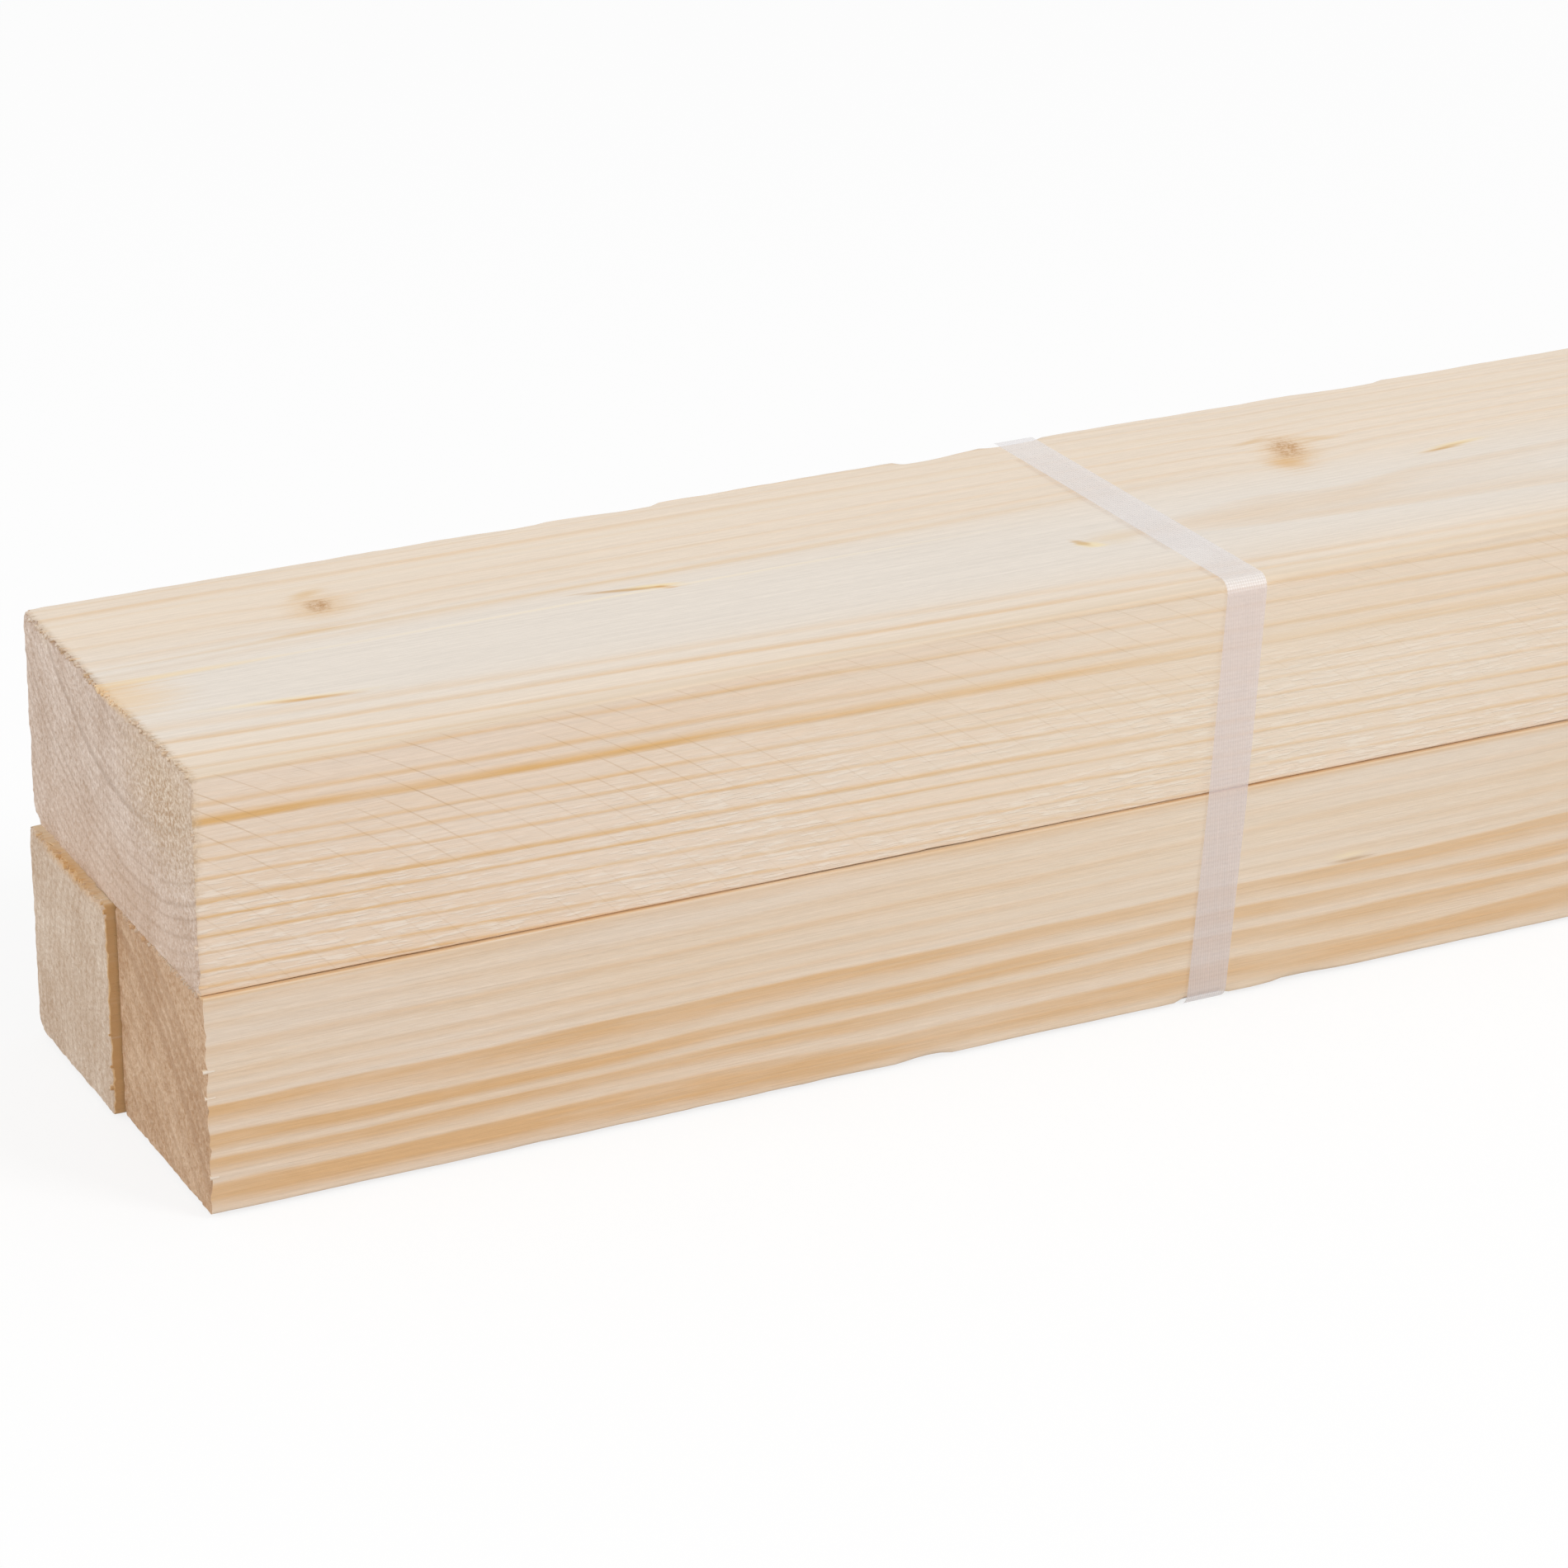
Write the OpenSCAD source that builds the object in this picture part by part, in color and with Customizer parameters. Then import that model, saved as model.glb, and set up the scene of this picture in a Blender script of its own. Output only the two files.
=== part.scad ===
// Bundle of rough-sawn fir battens: one wide batten lies flat on two square ones,
// and two plastic straps, bitten into the arrises, hold the three together.
// The length runs along X, the front faces -Y, and the straps' undersides lie on Z = 0.

/* [Battens] */
// Length of every batten
batten_length = 2000; // [1000:10:4000]
// Width of the wide batten, which lies flat on top
wide_batten_width = 50.8; // [40:0.1:80]
// Thickness of the wide batten
wide_batten_thickness = 24.5; // [20:0.1:50]
// Height of both lower battens, which carry the wide one
lower_batten_height = 24.9; // [20:0.1:50]
// Width of the lower batten at the front; the one at the back takes the rest
front_batten_width = 26; // [18:0.1:30]
// How far the front batten stands proud of the wide batten's front face
front_batten_proud = 0.6; // [0.2:0.1:2]
// How far the back batten lies inside the wide batten's back face
back_batten_inset = 1; // [0.2:0.1:2]
// Gap between the two lower battens
lower_gap = 0.3; // [0.1:0.1:0.9]

/* [Arrises] */
// Radius of the sawn arrises
arris_radius = 0.4; // [0.2:0.1:1]
// Radius of the back batten's worn upper back arris
back_upper_arris = 1.4; // [0.4:0.1:2.2]
// Radius of the back batten's worn lower back arris
back_lower_arris = 2; // [0.4:0.1:2.2]
// Width of the wane on the wide batten's underside, at the near end
wane_width = 2.1; // [1:0.1:4]
// Height of the wane on the wide batten's back face, at the near end
wane_height = 1.4; // [0.8:0.1:4]
// Length over which the wane runs out
wane_length = 420; // [100:10:900]

/* [Sawn ends] */
// How far the back batten stands out past the wide batten at the near end
back_batten_stagger = 1; // [0:0.1:10]
// How far the front batten lies behind the wide batten at the near end
front_batten_setback = 0.1; // [0:0.1:10]

/* [Straps] */
// Width of a strap
strap_width = 5; // [4:0.5:12]
// Thickness of a strap
strap_thickness = 0.5; // [0.3:0.1:0.8]
// Distance from the wide batten's end to the middle of the strap near it
strap_inset = 120; // [60:1:280]
// Inside radius of a strap's bends, where it crushes the arrises
strap_bend_radius = 1.2; // [0.8:0.1:3]
// Angle by which the near strap leans along the bundle towards its top
strap_lean = 4.6; // [0:0.1:10]
// Angle by which the near strap is skewed across the bundle, seen from above
strap_skew = 2.3; // [0:0.1:10]
// How much rounder a crushed arris is than the strap's bend over it
bend_clearance = 0.1; // [0.05:0.05:0.3]
// Room between a strap's edges and the sides of the dent under it
dent_clearance = 0.2; // [0.05:0.05:0.5]
// Length over which a strap's ends are welded on each other, on the back
weld_length = 14; // [8:1:16]
// Length of the slope where the outer end climbs over the inner one
weld_slope = 2; // [1:0.5:3]

/* [Hidden] */
$fn = 48;

// Across the bundle: the strap's face at the front and its weld at the back are the outermost
bundle_depth = strap_thickness + front_batten_proud + wide_batten_width + 2 * strap_thickness;
front_batten_y = strap_thickness - bundle_depth / 2;
wide_batten_y = front_batten_y + front_batten_proud;
wide_back_y = wide_batten_y + wide_batten_width;
back_batten_y = front_batten_y + front_batten_width + lower_gap;
back_batten_width = wide_back_y - back_batten_inset - back_batten_y;

// Up the bundle: it lies on its straps
lower_z = strap_thickness;
wide_z = lower_z + lower_batten_height;
top_z = wide_z + wide_batten_thickness;
middle_z = (lower_z + top_z) / 2;

// Along the bundle: the straps lie as far from one end as from the other
near_end_x = (back_batten_stagger - front_batten_setback - batten_length) / 2;
near_strap_x = near_end_x + strap_inset;
far_strap_x = near_end_x + batten_length - strap_inset;

// Longer and wider than any strap's loop, however it leans
loop_reach = 2 * (bundle_depth + top_z + strap_width);

fir = [0.90, 0.84, 0.77];
fir_tan = [0.87, 0.79, 0.68];
natural_polypropylene = [0.86, 0.82, 0.79];

// Rectangle from the origin to [w, h] whose corners have their own radii,
// in the order front bottom, back bottom, back top, front top
module sawn_section(w, h, radii) {
    corners = [[0, 0], [w, 0], [w, h], [0, h]];
    inward = [[1, 1], [-1, 1], [-1, -1], [1, -1]];
    difference() {
        square([w, h]);
        for (i = [0:3]) {
            r = radii[i];
            translate(corners[i]) difference() {
                translate([min(0, inward[i].x * r), min(0, inward[i].y * r)]) square(r);
                translate(inward[i] * r) circle(r);
            }
        }
    }
}

// Centres of a loop's bends, set in from the bundle's outer corners by a radius
function bend_centres(r) = [
    [front_batten_y + r, lower_z + r],
    [back_batten_y + back_batten_width - r, lower_z + r],
    [wide_back_y - r, wide_z + r],
    [wide_back_y - r, top_z - r],
    [wide_batten_y + r, top_z - r],
    [front_batten_y + r, wide_z - r]
];

// Unit vector that points out of a loop between two of its centres
function outward(a, b) = [b.y - a.y, a.x - b.x] / norm(b - a);

// Outline of a tight loop: straight stretches with a round bend at each centre
module loop_outline(centres, r) {
    count = len(centres);
    polygon([
        for (i = [0:count - 1])
            let (a = centres[i], b = centres[(i + 1) % count], out = outward(a, b))
            each [a + r * out, b + r * out]
    ]);
    for (centre = centres)
        translate(centre) circle(r);
}

// Sweep a section drawn in Y and Z along +X
module along_x(length) {
    rotate([90, 0, 90]) linear_extrude(length) children();
}

// Sweep a section along X and keep the stretch that a leaning band of this width covers
module leaning_band(x, width, lean, skew) {
    intersection() {
        translate([x - loop_reach / 2, 0, 0]) along_x(loop_reach) children();
        translate([x, 0, middle_z]) rotate([0, lean, skew])
            cube([width, loop_reach, loop_reach], center = true);
    }
}

// What a strap crushes away: all that lies outside its loop
module strap_dent(x, lean, skew) {
    r = strap_bend_radius + bend_clearance;
    leaning_band(x, strap_width + 2 * dent_clearance, lean, skew) difference() {
        translate([-bundle_depth, -top_z]) square([2 * bundle_depth, 3 * top_z]);
        loop_outline(bend_centres(r), r);
    }
}

// Batten with eased arrises, dented where the straps pass
module batten(w, h, end_x, y, z, radii) {
    difference() {
        translate([end_x, y, z]) along_x(batten_length) sawn_section(w, h, radii);
        strap_dent(near_strap_x, strap_lean, strap_skew);
        strap_dent(far_strap_x, 0, 0);
    }
}

// Sliver lost to the round of the log: its cut runs from the near end to nothing
module wane() {
    tip = [near_end_x + wane_length, wide_back_y, wide_z];
    at_end = [
        [near_end_x, wide_back_y - wane_width, wide_z],
        [near_end_x, wide_back_y, wide_z + wane_height],
        [near_end_x, wide_back_y + wane_width, wide_z - wane_height]
    ];
    past_end = 1.02;
    polyhedron(
        points = [each [for (p = at_end) tip + past_end * (p - tip)], tip],
        faces = [[0, 2, 1], [0, 1, 3], [1, 2, 3], [2, 0, 3]]
    );
}

module wide_batten() {
    color(fir) difference() {
        batten(wide_batten_width, wide_batten_thickness, near_end_x, wide_batten_y, wide_z,
            [for (i = [0:3]) arris_radius]);
        wane();
    }
}

module front_batten() {
    color(fir_tan)
        batten(front_batten_width, lower_batten_height, near_end_x + front_batten_setback,
            front_batten_y, lower_z, [for (i = [0:3]) arris_radius]);
}

module back_batten() {
    color(fir_tan)
        batten(back_batten_width, lower_batten_height, near_end_x - back_batten_stagger,
            back_batten_y, lower_z, [arris_radius, back_lower_arris, back_upper_arris, arris_radius]);
}

// Band round the bundle, with its outer end welded over its inner end on the back
module strap(x, lean, skew) {
    centres = bend_centres(strap_bend_radius);
    face_y = wide_back_y + strap_thickness;
    weld_z = wide_z + (wide_batten_thickness - weld_length - weld_slope) / 2;
    leaning_band(x, strap_width, lean, skew) {
        difference() {
            loop_outline(centres, strap_bend_radius + strap_thickness);
            loop_outline(centres, strap_bend_radius);
        }
        polygon([
            [face_y, weld_z],
            [face_y + strap_thickness, weld_z],
            [face_y + strap_thickness, weld_z + weld_length],
            [face_y, weld_z + weld_length + weld_slope]
        ]);
    }
}

module near_strap() {
    color(natural_polypropylene) strap(near_strap_x, strap_lean, strap_skew);
}

module far_strap() {
    color(natural_polypropylene) strap(far_strap_x, 0, 0);
}

wide_batten();
back_batten();
front_batten();
near_strap();
far_strap();
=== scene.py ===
"""Bundle of rough-sawn fir battens in two plastic straps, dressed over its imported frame."""

import logging
import math
import random
from dataclasses import dataclass
from enum import Enum

import bmesh
import bpy
from mathutils import Matrix, Vector, noise


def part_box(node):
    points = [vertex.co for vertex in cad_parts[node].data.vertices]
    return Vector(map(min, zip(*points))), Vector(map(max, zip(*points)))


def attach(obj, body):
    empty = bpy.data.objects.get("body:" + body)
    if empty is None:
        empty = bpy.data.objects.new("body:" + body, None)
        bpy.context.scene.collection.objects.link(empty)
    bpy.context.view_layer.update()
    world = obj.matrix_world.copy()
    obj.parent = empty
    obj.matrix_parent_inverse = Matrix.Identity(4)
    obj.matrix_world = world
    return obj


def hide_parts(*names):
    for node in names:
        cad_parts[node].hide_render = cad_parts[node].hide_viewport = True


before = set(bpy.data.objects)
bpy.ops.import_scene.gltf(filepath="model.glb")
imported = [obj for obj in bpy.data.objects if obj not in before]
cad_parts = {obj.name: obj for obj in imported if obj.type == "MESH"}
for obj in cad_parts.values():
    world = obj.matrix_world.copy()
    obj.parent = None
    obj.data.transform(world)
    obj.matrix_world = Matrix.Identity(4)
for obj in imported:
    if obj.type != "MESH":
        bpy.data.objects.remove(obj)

log = logging.getLogger("fir_bundle")

MM = 0.001
# Turn of a pith's swing in radians a mm: half a wave in about a metre
PITH_SWING = 0.0028
# Depth of a batten's torn ends, in mm
TORN_DEPTH = 2.4

# Settings that many nodes share
SMOOTH = {"interpolation_type": "SMOOTHSTEP"}
COLOURS = {"data_type": "RGBA"}
TIMES = {"operation": "MULTIPLY"}
TIMES_PLUS = {"operation": "MULTIPLY_ADD"}
PLUS = {"operation": "ADD"}
LESS = {"operation": "SUBTRACT"}
ABSOLUTE = {"operation": "ABSOLUTE"}
GREATER = {"operation": "MAXIMUM"}
LENGTH = {"operation": "LENGTH"}
SINE = {"operation": "SINE"}

Node = bpy.types.Node
Tree = bpy.types.NodeTree


def linear(hex_colour: str) -> tuple[float, float, float, float]:
    """Turn an sRGB hex colour to linear light.

    Args:
        hex_colour: Six hex digits, such as "e6cfb0".

    Returns:
        Red, green, blue and an alpha of 1.
    """
    channels = [int(hex_colour[i:i + 2], 16) / 255 for i in (0, 2, 4)]
    curve = [c / 12.92 if c <= 0.04045 else ((c + 0.055) / 1.055) ** 2.4 for c in channels]
    return (*curve, 1.0)


def add_node(tree: Tree, kind: str, settings: dict, links: dict) -> Node:
    """Add a node with its settings and links.

    Args:
        tree: Node tree that takes the node.
        kind: Blender's name for the node's type, without the ShaderNode before it.
        settings: Attribute names and the values they get.
        links: Input names or numbers, each with a node, a socket or a plain value.

    Returns:
        The new node.
    """
    node = tree.nodes.new("ShaderNode" + kind)
    for name, value in settings.items():
        setattr(node, name, value)
    for key, source in links.items():
        if isinstance(key, int):
            socket = node.inputs[key]
        else:
            socket = next(s for s in node.inputs if s.enabled and s.name == key)
        if isinstance(source, Node):
            source = next(s for s in source.outputs if s.enabled)
        if isinstance(source, bpy.types.NodeSocket):
            tree.links.new(source, socket)
        else:
            socket.default_value = source
    return node


def empty_tree(owner: bpy.types.Material | bpy.types.World) -> Tree:
    """Give a material or a world an empty node tree."""
    owner.use_nodes = True
    owner.node_tree.nodes.clear()
    return owner.node_tree


def take_mesh(name: str, shape: bmesh.types.BMesh) -> bpy.types.Mesh:
    """Turn a finished shape to a mesh and free the shape."""
    mesh = bpy.data.meshes.new(name)
    shape.to_mesh(mesh)
    shape.free()
    return mesh


def place_object(name: str, data: bpy.types.ID) -> bpy.types.Object:
    """Add an object to the scene."""
    made = bpy.data.objects.new(name, data)
    bpy.context.scene.collection.objects.link(made)
    return made


def smooth_step(low: float, high: float, value: float) -> float:
    """Climb smoothly from 0 at low to 1 at high."""
    t = min(1.0, max(0.0, (value - low) / (high - low)))
    return t * t * (3 - 2 * t)


class Arris(Enum):
    """Long edges of a batten, as their side in Y and in Z."""

    FRONT_LOW = (0, 0)
    BACK_LOW = (1, 0)
    BACK_TOP = (1, 1)
    FRONT_TOP = (0, 1)


@dataclass(frozen=True)
class Ring:
    """Latewood of one growth ring, in mm from the pith.

    It darkens from the inside out, stays dark over its body, a share of its width, and ends sharply.
    The earlywood inside it has a shade of its own, its rest.
    """

    edge: float
    width: float
    strength: float
    body: float = 0.3
    rest: float = 0.0


@dataclass(frozen=True)
class Mark:
    """Stain, knot, resin streak, painted shade or painted light: a soft ellipsoid in mm from the bundle's
    near corner.

    It can be turned about Z, in degrees.
    """

    centre: tuple[float, float, float]
    reach: tuple[float, float, float]
    colour: str
    strength: float
    bulge: float = 0.0
    speckle: float = 0.0
    blur: float = 1.0
    turn: float = 0.0


@dataclass(frozen=True)
class Ground:
    """What the layers of a material start from: its tree, the place in mm and the face's normal."""

    made: bpy.types.Material
    tree: Tree
    spot: Node
    axes: Node
    normal: bpy.types.NodeSocket
    facing: Node

    @classmethod
    def start(cls, name: str, corner: Vector) -> "Ground":
        """Begin a material.

        Args:
            name: Name of the material.
            corner: Near lower front corner of the bundle, in mm, which places count from.

        Returns:
            The ground of the new material.
        """
        made = bpy.data.materials.new(name)
        tree = empty_tree(made)
        place = add_node(tree, "TexCoord", {}, {})
        normal = place.outputs["Normal"]
        spot = add_node(tree, "Mapping", {}, {
            "Vector": place.outputs["Object"], "Location": -corner, "Scale": (1000, 1000, 1000)})
        axes, facing = (add_node(tree, "SeparateXYZ", {}, {0: whole}) for whole in (spot, normal))
        return cls(made, tree, spot, axes, normal, facing)

    def stretched_noise(self, pitch: tuple[float, float, float], detail: float) -> Node:
        """Noise drawn out along the grain or the strap.

        Args:
            pitch: Waves per mm along each axis.
            detail: Octaves of the noise.

        Returns:
            Node whose value is the noise, from 0 to 1.
        """
        drawn = add_node(self.tree, "VectorMath", TIMES, {0: self.spot, 1: pitch})
        return add_node(self.tree, "TexNoise", {}, {
            "Vector": drawn, "Scale": 1.0, "Detail": detail, "Roughness": 0.6})


@dataclass(frozen=True)
class SawnFir:
    """Rough-sawn fir: pale earlywood, tan latewood lines, woolly torn fibres and saw strokes.

    Lengths are in mm, counted from the near lower front corner of the bundle.
    """

    name: str
    pith: tuple[float, float]
    drift: tuple[float, float]
    rings: tuple[Ring, ...]
    early: str
    early_warm: str
    # Colour painted on the top face for the sheen of light on it
    upper_sheen: str
    flat: str
    late: str
    end_pale: str
    end_dark: str
    end_late: str
    plain_behind: float
    woolly: float
    woolly_below: float
    strokes: float
    strokes_above: float
    fades: float = 0.0
    wavy: float = 0.5
    spiral: tuple[float, float] = (0.0, 0.0)
    marks: tuple[Mark, ...] = ()
    # Pale colour of torn tufts: partly their own, partly painted glints of the light they catch
    tuft_and_glint: str = "f4e9dc"
    stroke: str = "c09868"

    def material(self, corner: Vector) -> bpy.types.Material:
        """Make the solid wood, seen on every face it is sawn through.

        Args:
            corner: Near lower front corner of the bundle, in mm.

        Returns:
            The finished material.
        """
        on = Ground.start(self.name, corner)
        tree = on.tree
        flat = add_node(tree, "Math", ABSOLUTE, {0: on.facing.outputs["X"]})
        end = add_node(tree, "MapRange", SMOOTH, {"Value": flat, "From Min": 0.55, "From Max": 0.85})
        turn = add_node(tree, "Math", TIMES, {0: on.axes.outputs["X"], 1: PITH_SWING})
        swing = add_node(tree, "Math", SINE, {0: turn})
        # The lines dwindle over the first 130 mm and come back in the far half
        near_end = add_node(tree, "MapRange", SMOOTH, {
            "Value": swing, "From Min": 0.05, "From Max": 0.36, "To Min": 1.0, "To Max": 1.0 - self.fades})
        late, flat_sawn = self._latewood(on, swing)
        fibres = on.stretched_noise((0.035, 2.4, 2.4), 3.0)
        colour = self._long_grain(on, late, flat_sawn, fibres, near_end)
        tufts = self._tufts(on, late)
        scored = self._saw_strokes(on, near_end)
        # Torn tufts get a pale colour, partly their own and partly painted glints of light on the fibres; saw
        # strokes get their own colour
        for cover, over in ((tufts, self.tuft_and_glint), (scored, self.stroke)):
            colour = add_node(tree, "Mix", COLOURS, {"Factor": cover, "A": colour, "B": linear(over)})
        grit = add_node(tree, "TexNoise", {}, {
            "Vector": on.spot, "Scale": 1.9, "Detail": 3.0, "Roughness": 0.75})
        colour = self._end_grain(on, late, grit, end, colour)
        for mark in self.marks:
            colour = self._mark(on, fibres, grit, mark, colour)
        # Height in mm of hairs, hard latewood, torn wool and strokes, and of the open grain on the ends
        height = 0.0
        for layer, rise in ((fibres, 0.09), (late, 0.03), (tufts, 0.06), (scored, -0.03)):
            height = add_node(tree, "Math", TIMES_PLUS, {0: layer, 1: rise, 2: height})
        open_grain = add_node(tree, "Math", TIMES, {0: grit, 1: 0.35})
        height = add_node(tree, "Mix", {}, {"Factor": end, "A": height, "B": open_grain})
        bump = add_node(tree, "Bump", {}, {"Strength": 1.0, "Distance": MM, "Height": height})
        gloss = add_node(tree, "MapRange", {}, {"Value": fibres, "To Min": 0.62, "To Max": 0.78})
        wood = add_node(tree, "BsdfPrincipled", {}, {
            "Base Color": colour, "Roughness": gloss, "IOR": 1.5, "Normal": bump})
        add_node(tree, "OutputMaterial", {}, {"Surface": wood})
        return on.made

    def _latewood(self, on: Ground, swing: Node) -> tuple[Node, Node]:
        """Latewood round a pith that wanders along the log.

        Args:
            on: Ground of the material.
            swing: Slow wave along the log, from -1 to 1.

        Returns:
            Node whose value is 1 in the darkest latewood and 0 in earlywood, and
            node whose value is 1 where the saw ran along a ring.
        """
        tree = on.tree
        above = add_node(tree, "MapRange", SMOOTH, {
            "Value": on.facing.outputs["Z"], "From Min": 0.5, "From Max": 0.95})
        # Spiral grain turns the lines of the top face a little more than those of the sides
        across, up, spiral = (
            add_node(tree, "Math", TIMES_PLUS, {0: swing, 1: amount, 2: start})
            for start, amount in (*zip(self.pith, self.drift), self.spiral))
        across = add_node(tree, "Math", TIMES_PLUS, {0: spiral, 1: above, 2: across})
        heart = add_node(tree, "CombineXYZ", {}, {"X": on.axes.outputs["X"], "Y": across, "Z": up})
        ray = add_node(tree, "VectorMath", LESS, {0: on.spot, 1: heart})
        outward = add_node(tree, "VectorMath", {"operation": "NORMALIZE"}, {0: ray})
        lie = add_node(tree, "VectorMath", {"operation": "DOT_PRODUCT"}, {0: outward, 1: on.normal})
        square_on = add_node(tree, "Math", ABSOLUTE, {0: lie.outputs["Value"]})
        flat_sawn = add_node(tree, "MapRange", SMOOTH, {
            "Value": square_on, "From Min": 0.8, "From Max": 1.0})
        reach = add_node(tree, "VectorMath", LENGTH, {0: ray}).outputs["Value"]
        for mark in self.marks:
            if mark.bulge:
                reach = self._bulge(on, mark, reach)
        # Slow, quick and fraying shifts of the rings; their mean is taken off again by the range
        mean = 0.0
        for pitch, detail, amount in (((0.007, 0.06, 0.06), 1.0, 1.0), ((0.022, 0.12, 0.12), 1.0, self.wavy),
                                      ((0.12, 2.2, 2.2), 3.0, 0.24)):
            shift = on.stretched_noise(pitch, detail)
            reach = add_node(tree, "Math", TIMES_PLUS, {0: shift, 1: amount, 2: reach})
            mean += amount / 2
        first = self.rings[0].edge - 3
        last = self.rings[-1].edge + 3
        share = add_node(tree, "MapRange", {}, {
            "Value": reach, "From Min": first + mean, "From Max": last + mean})
        curve = add_node(tree, "FloatCurve", {}, {"Value": share})
        profile = curve.mapping.curves[0]
        profile.points[0].location = (0.0, 0.0)
        profile.points[1].location = (1.0, 0.0)
        for ring, outer in zip(self.rings, (*self.rings[1:], Ring(last, 1.0, 0.0))):
            dark_from = ring.edge - ring.width * ring.body
            for radius, depth in ((ring.edge - ring.width, ring.rest), (dark_from, ring.strength),
                                  (ring.edge - 0.1, ring.strength), (ring.edge + 0.12, outer.rest)):
                profile.points.new((radius - first) / (last - first), depth)
        for point in profile.points:
            point.handle_type = "VECTOR"
        curve.mapping.update()
        return curve, flat_sawn

    def _bulge(self, on: Ground, mark: Mark, reach: Node | bpy.types.NodeSocket) -> Node:
        """Let the rings flow round a knot.

        Args:
            on: Ground of the material.
            mark: The knot.
            reach: Distance from the pith so far.

        Returns:
            Node whose value is the distance with the rings pushed aside.
        """
        near = add_node(on.tree, "Mapping", {"vector_type": "TEXTURE"}, {
            "Vector": on.spot, "Location": mark.centre, "Scale": Vector(mark.reach) * 2.4})
        away = add_node(on.tree, "VectorMath", LENGTH, {0: near})
        push = add_node(on.tree, "MapRange", SMOOTH, {
            "Value": away.outputs["Value"], "To Min": mark.bulge, "To Max": 0.0})
        return add_node(on.tree, "Math", PLUS, {0: reach, 1: push})

    def _long_grain(self, on: Ground, late: Node, flat_sawn: Node, fibres: Node, near_end: Node) -> Node:
        """Colour of the faces sawn along the grain: the top one is painted paler for the sheen of light on
        it, and its lines are fainter.

        Args:
            on: Ground of the material.
            late: Latewood, from 0 to 1.
            flat_sawn: 1 where the saw ran along a ring.
            fibres: Fine streaks along the grain, from 0 to 1.
            near_end: Share of the lines' strength that is left.

        Returns:
            Node whose colour is the wood's.
        """
        tree = on.tree
        patches = on.stretched_noise((0.012, 0.13, 0.13), 2.0)
        warmth = add_node(tree, "MapRange", SMOOTH, {
            "Value": patches, "From Min": 0.35, "From Max": 0.68})
        # Painted sheen: the top face is painted paler for the light it reflects at a glancing angle
        above = add_node(tree, "MapRange", SMOOTH, {
            "Value": on.facing.outputs["Z"], "From Min": 0.8, "From Max": 0.99})
        cover = add_node(tree, "Math", TIMES, {0: above, 1: 0.75})
        base = linear(self.early)
        for share, over in ((warmth, self.early_warm), (cover, self.upper_sheen), (flat_sawn, self.flat)):
            base = add_node(tree, "Mix", COLOURS, {"Factor": share, "A": base, "B": linear(over)})
        plain = add_node(tree, "MapRange", SMOOTH, {
            "Value": on.axes.outputs["Y"], "From Min": self.plain_behind - 8,
            "From Max": self.plain_behind + 8, "To Min": -0.25, "To Max": -0.68})
        shown = add_node(tree, "Math", TIMES_PLUS, {0: above, 1: plain, 2: 1.0})
        fickle = on.stretched_noise((0.03, 0.3, 0.3), 3.0)
        vivid = add_node(tree, "MapRange", {}, {
            "Value": fickle, "From Min": 0.3, "From Max": 0.7, "To Min": 0.6, "To Max": 1.4})
        for factor in (vivid, near_end, late):
            shown = add_node(tree, "Math", TIMES, {0: shown, 1: factor})
        ringed = add_node(tree, "Mix", COLOURS, {"Factor": shown, "A": base, "B": linear(self.late)})
        short = on.stretched_noise((0.4, 3.5, 3.5), 3.0)
        streak, fleck = (
            add_node(tree, "MapRange", {}, {
                "Value": fine, "From Min": 0.3, "From Max": 0.7, "To Min": dimmest, "To Max": 1.03})
            for fine, dimmest in ((fibres, 0.95), (short, 0.96)))
        grain = add_node(tree, "Math", TIMES, {0: streak, 1: fleck})
        return add_node(tree, "VectorMath", {"operation": "SCALE"}, {0: ringed, "Scale": grain})

    def _tufts(self, on: Ground, late: Node) -> Node:
        """Woolly tufts of torn earlywood, a few mm long.

        Args:
            on: Ground of the material.
            late: Latewood, which doesn't tear, from 0 to 1.

        Returns:
            Node whose value is the tufts' cover.
        """
        tree = on.tree
        torn = on.stretched_noise((0.3, 3.0, 3.0), 2.0)
        where = on.stretched_noise((0.02, 0.1, 0.1), 1.0)
        patch = add_node(tree, "MapRange", SMOOTH, {
            "Value": where, "From Min": 0.3, "From Max": 0.55, "To Max": self.woolly})
        low_down = add_node(tree, "MapRange", SMOOTH, {
            "Value": on.axes.outputs["Z"], "From Min": self.woolly_below - 5,
            "From Max": self.woolly_below + 5, "To Min": 1.0, "To Max": 0.25})
        cover = add_node(tree, "MapRange", SMOOTH, {"Value": torn, "From Min": 0.48, "From Max": 0.62})
        side = add_node(tree, "Math", ABSOLUTE, {0: on.facing.outputs["Y"]})
        soft = add_node(tree, "Math", LESS, {0: 1.0, 1: late})
        for factor in (soft, patch, low_down, side):
            cover = add_node(tree, "Math", TIMES, {0: cover, 1: factor})
        return cover

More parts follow.
